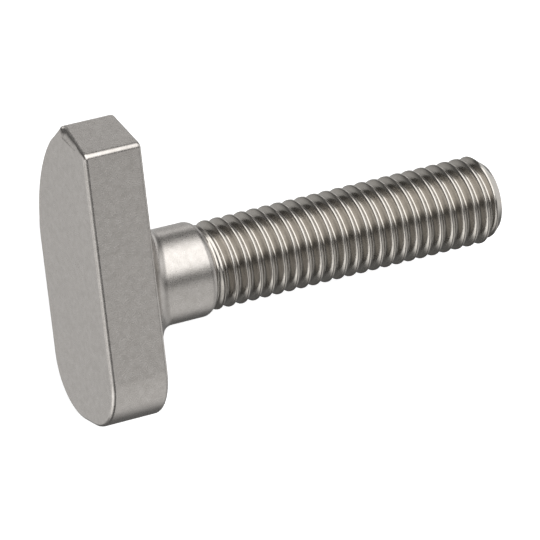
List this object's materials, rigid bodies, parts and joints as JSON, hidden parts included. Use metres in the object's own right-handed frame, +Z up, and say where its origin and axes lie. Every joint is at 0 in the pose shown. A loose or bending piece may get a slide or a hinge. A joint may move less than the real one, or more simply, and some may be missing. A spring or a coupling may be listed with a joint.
{
  "type": "t slot bolt",
  "caption": "Hammer-head bolt for a T slot: long flat head with one slanted and one rounded end, round collar and threaded shank.",
  "frame": {"origin": "on the surface that the bolt lies on, under the middle of its bounding box", "axes": "+X runs from the head to the threaded tip (the shank drops 3.3 degrees towards the tip, as it lies), +Y along the head to its slanted end, +Z up, square to the head's long side"},
  "size_m": [0.0518, 0.0342, 0.0153],
  "materials": {
    "steel": "satin, bright on the thread"
  },
  "bodies": {
    "root": {"t_slot_bolt": "steel"}
  },
  "joints": []
}
